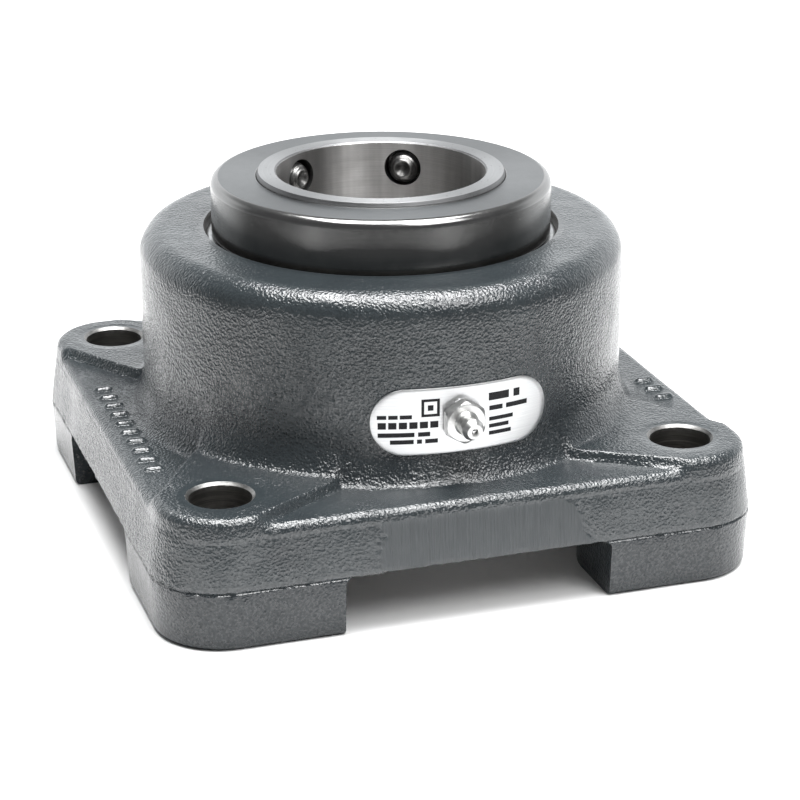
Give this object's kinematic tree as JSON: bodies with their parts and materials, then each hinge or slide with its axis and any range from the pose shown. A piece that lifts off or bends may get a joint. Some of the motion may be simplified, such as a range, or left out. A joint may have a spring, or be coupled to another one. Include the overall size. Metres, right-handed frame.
{
  "type": "flange mount bearing",
  "caption": "Square flange-mount bearing unit: cast housing, tapered roller bearing, set-screw locking collar, nameplate and grease fitting.",
  "frame": {"origin": "on the bore's axis, on the plane of the feet that bolt to the machine", "axes": "+Z along the bore towards the locking collar, -Y towards the grease fitting and nameplate, X and Y along the sides of the square flange"},
  "size_m": [0.178, 0.178, 0.1052],
  "materials": {
    "housing_paint": "semi-gloss dark blue-grey paint over rough sand-cast iron",
    "bearing_steel": "hardened, ground bearing steel",
    "pressed_steel": "pressed sheet steel, dull",
    "spring_steel": "phosphated spring steel",
    "collar_steel": "turned steel, satin face and polished edge",
    "screw_steel": "black oxide alloy steel",
    "seal_rubber": "nitrile rubber, matte",
    "seal_steel": "pressed steel seal case, lightly oiled",
    "plate_aluminium": null,
    "fitting_zinc": "bright zinc plated steel"
  },
  "bodies": {
    "housing_unit": {"housing": "housing_paint", "front_outer_cup": "bearing_steel", "rear_outer_cup": "bearing_steel", "cup_spacer": "pressed_steel", "adjusting_shim": "pressed_steel", "snap_ring": "spring_steel", "front_seal_case": "seal_steel", "front_seal_lip": "seal_rubber", "front_garter_spring": "spring_steel", "rear_seal_case": "seal_steel", "rear_seal_lip": "seal_rubber", "rear_garter_spring": "spring_steel", "nameplate": "plate_aluminium", "grease_fitting": "fitting_zinc", "grease_spring": "spring_steel"},
    "shaft_ring": {"inner_ring": "bearing_steel", "locking_collar": "collar_steel"},
    "left_screw": {"set_screw_left": "screw_steel"},
    "right_screw": {"set_screw_right": "screw_steel"},
    "front_row": {"front_cage": "pressed_steel", "front_rollers": "bearing_steel"},
    "rear_row": {"rear_cage": "pressed_steel", "rear_rollers": "bearing_steel"},
    "check_ball": {"grease_ball": "bearing_steel"}
  },
  "joints": [
    {"name": "shaft_spin", "type": "hinge", "parent": "housing_unit", "child": "shaft_ring", "pos_m": [0, 0, 0.0571], "axis": [0, 0, 1], "continuous": true},
    {"name": "front_row_spin", "type": "hinge", "parent": "housing_unit", "child": "front_row", "pos_m": [0, 0, 0.0678], "axis": [0, 0, 1], "continuous": true},
    {"name": "rear_row_spin", "type": "hinge", "parent": "housing_unit", "child": "rear_row", "pos_m": [0, 0, 0.0378], "axis": [0, 0, 1], "continuous": true},
    {"name": "left_screw_travel", "type": "slide", "parent": "shaft_ring", "child": "left_screw", "axis": [0.565, -0.8251, 0], "range_m": [-0.004, 0.0011]},
    {"name": "right_screw_travel", "type": "slide", "parent": "shaft_ring", "child": "right_screw", "axis": [-0.509, -0.8607, 0], "range_m": [-0.004, 0.0011]},
    {"name": "check_ball_travel", "type": "slide", "parent": "housing_unit", "child": "check_ball", "axis": [0, 1, 0], "range_m": [0, 0.0008], "stiffness_N_per_m": 200, "springref_m": -0.004, "deforming": ["grease_spring"]}
  ],
  "couplings": [
    {"joint": "front_row_spin", "follows": "shaft_spin", "ratio": 0.45236},
    {"joint": "rear_row_spin", "follows": "shaft_spin", "ratio": 0.45236}
  ]
}
